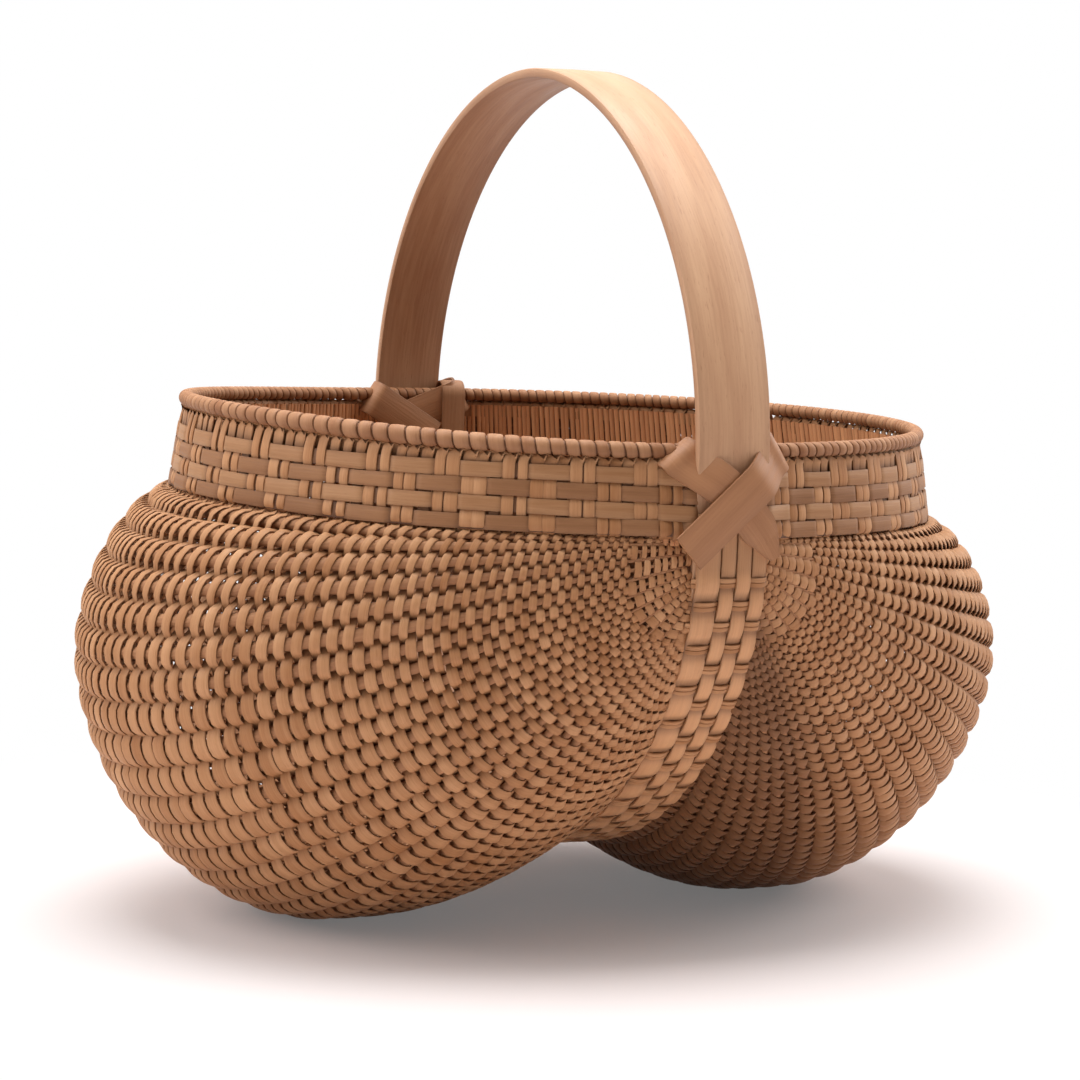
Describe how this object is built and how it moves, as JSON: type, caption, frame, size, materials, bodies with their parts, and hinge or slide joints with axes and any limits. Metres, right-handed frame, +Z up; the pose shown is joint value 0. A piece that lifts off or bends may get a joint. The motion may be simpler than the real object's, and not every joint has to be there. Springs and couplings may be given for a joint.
{
  "type": "buttocks basket",
  "caption": "Two-lobed oak splint rib basket with a fixed hoop handle, wrapped rim, flat splint collar and crossed ear straps, for carrying and storing light goods.",
  "frame": {"origin": "on the floor under the middle of the basket's overall length and width", "axes": "+Z up, +X along the two lobes toward the right lobe, +Y from the front ear to the back ear"},
  "size_m": [0.3313, 0.2612, 0.2833],
  "materials": {
    "hoop_oak": "smooth shaved oak with fine lengthwise grain, satin",
    "rim_oak": "oak splint turned closely round the hoop, dull",
    "light_splint": "flat oak splint, pale, dull satin",
    "brown_splint": "flat oak splint, browner, dull satin",
    "strap_oak": "flat oak splint, satin",
    "weaver_oak": "woven narrow oak splint, dull",
    "rib_oak": "round whittled oak rod, dull"
  },
  "bodies": {
    "root": {"handle_hoop": "hoop_oak", "rim_hoop": "rim_oak", "spine_splint_1": "light_splint", "spine_splint_2": "brown_splint", "spine_splint_3": "light_splint", "spine_splint_4": "brown_splint", "front_ear_strap_under": "strap_oak", "front_ear_strap_over": "strap_oak", "back_ear_strap_under": "strap_oak", "back_ear_strap_over": "strap_oak", "left_collar_splint_1": "light_splint", "left_collar_splint_2": "brown_splint", "left_collar_splint_3": "light_splint", "left_collar_splint_4": "brown_splint", "left_weave": "weaver_oak", "left_rib_01": "rib_oak", "left_rib_02": "rib_oak", "left_rib_03": "rib_oak", "left_rib_04": "rib_oak", "left_rib_05": "rib_oak", "left_rib_06": "rib_oak", "left_rib_07": "rib_oak", "left_rib_08": "rib_oak", "left_rib_09": "rib_oak", "left_rib_10": "rib_oak", "left_rib_11": "rib_oak", "left_rib_12": "rib_oak", "left_rib_13": "rib_oak", "left_rib_14": "rib_oak", "left_rib_15": "rib_oak", "left_rib_16": "rib_oak", "left_rib_17": "rib_oak", "left_rib_18": "rib_oak", "left_rib_19": "rib_oak", "left_rib_20": "rib_oak", "right_collar_splint_1": "light_splint", "right_collar_splint_2": "brown_splint", "right_collar_splint_3": "light_splint", "right_collar_splint_4": "brown_splint", "right_weave": "weaver_oak", "right_rib_01": "rib_oak", "right_rib_02": "rib_oak", "right_rib_03": "rib_oak", "right_rib_04": "rib_oak", "right_rib_05": "rib_oak", "right_rib_06": "rib_oak", "right_rib_07": "rib_oak", "right_rib_08": "rib_oak", "right_rib_09": "rib_oak", "right_rib_10": "rib_oak", "right_rib_11": "rib_oak", "right_rib_12": "rib_oak", "right_rib_13": "rib_oak", "right_rib_14": "rib_oak", "right_rib_15": "rib_oak", "right_rib_16": "rib_oak", "right_rib_17": "rib_oak", "right_rib_18": "rib_oak", "right_rib_19": "rib_oak", "right_rib_20": "rib_oak"}
  },
  "joints": []
}
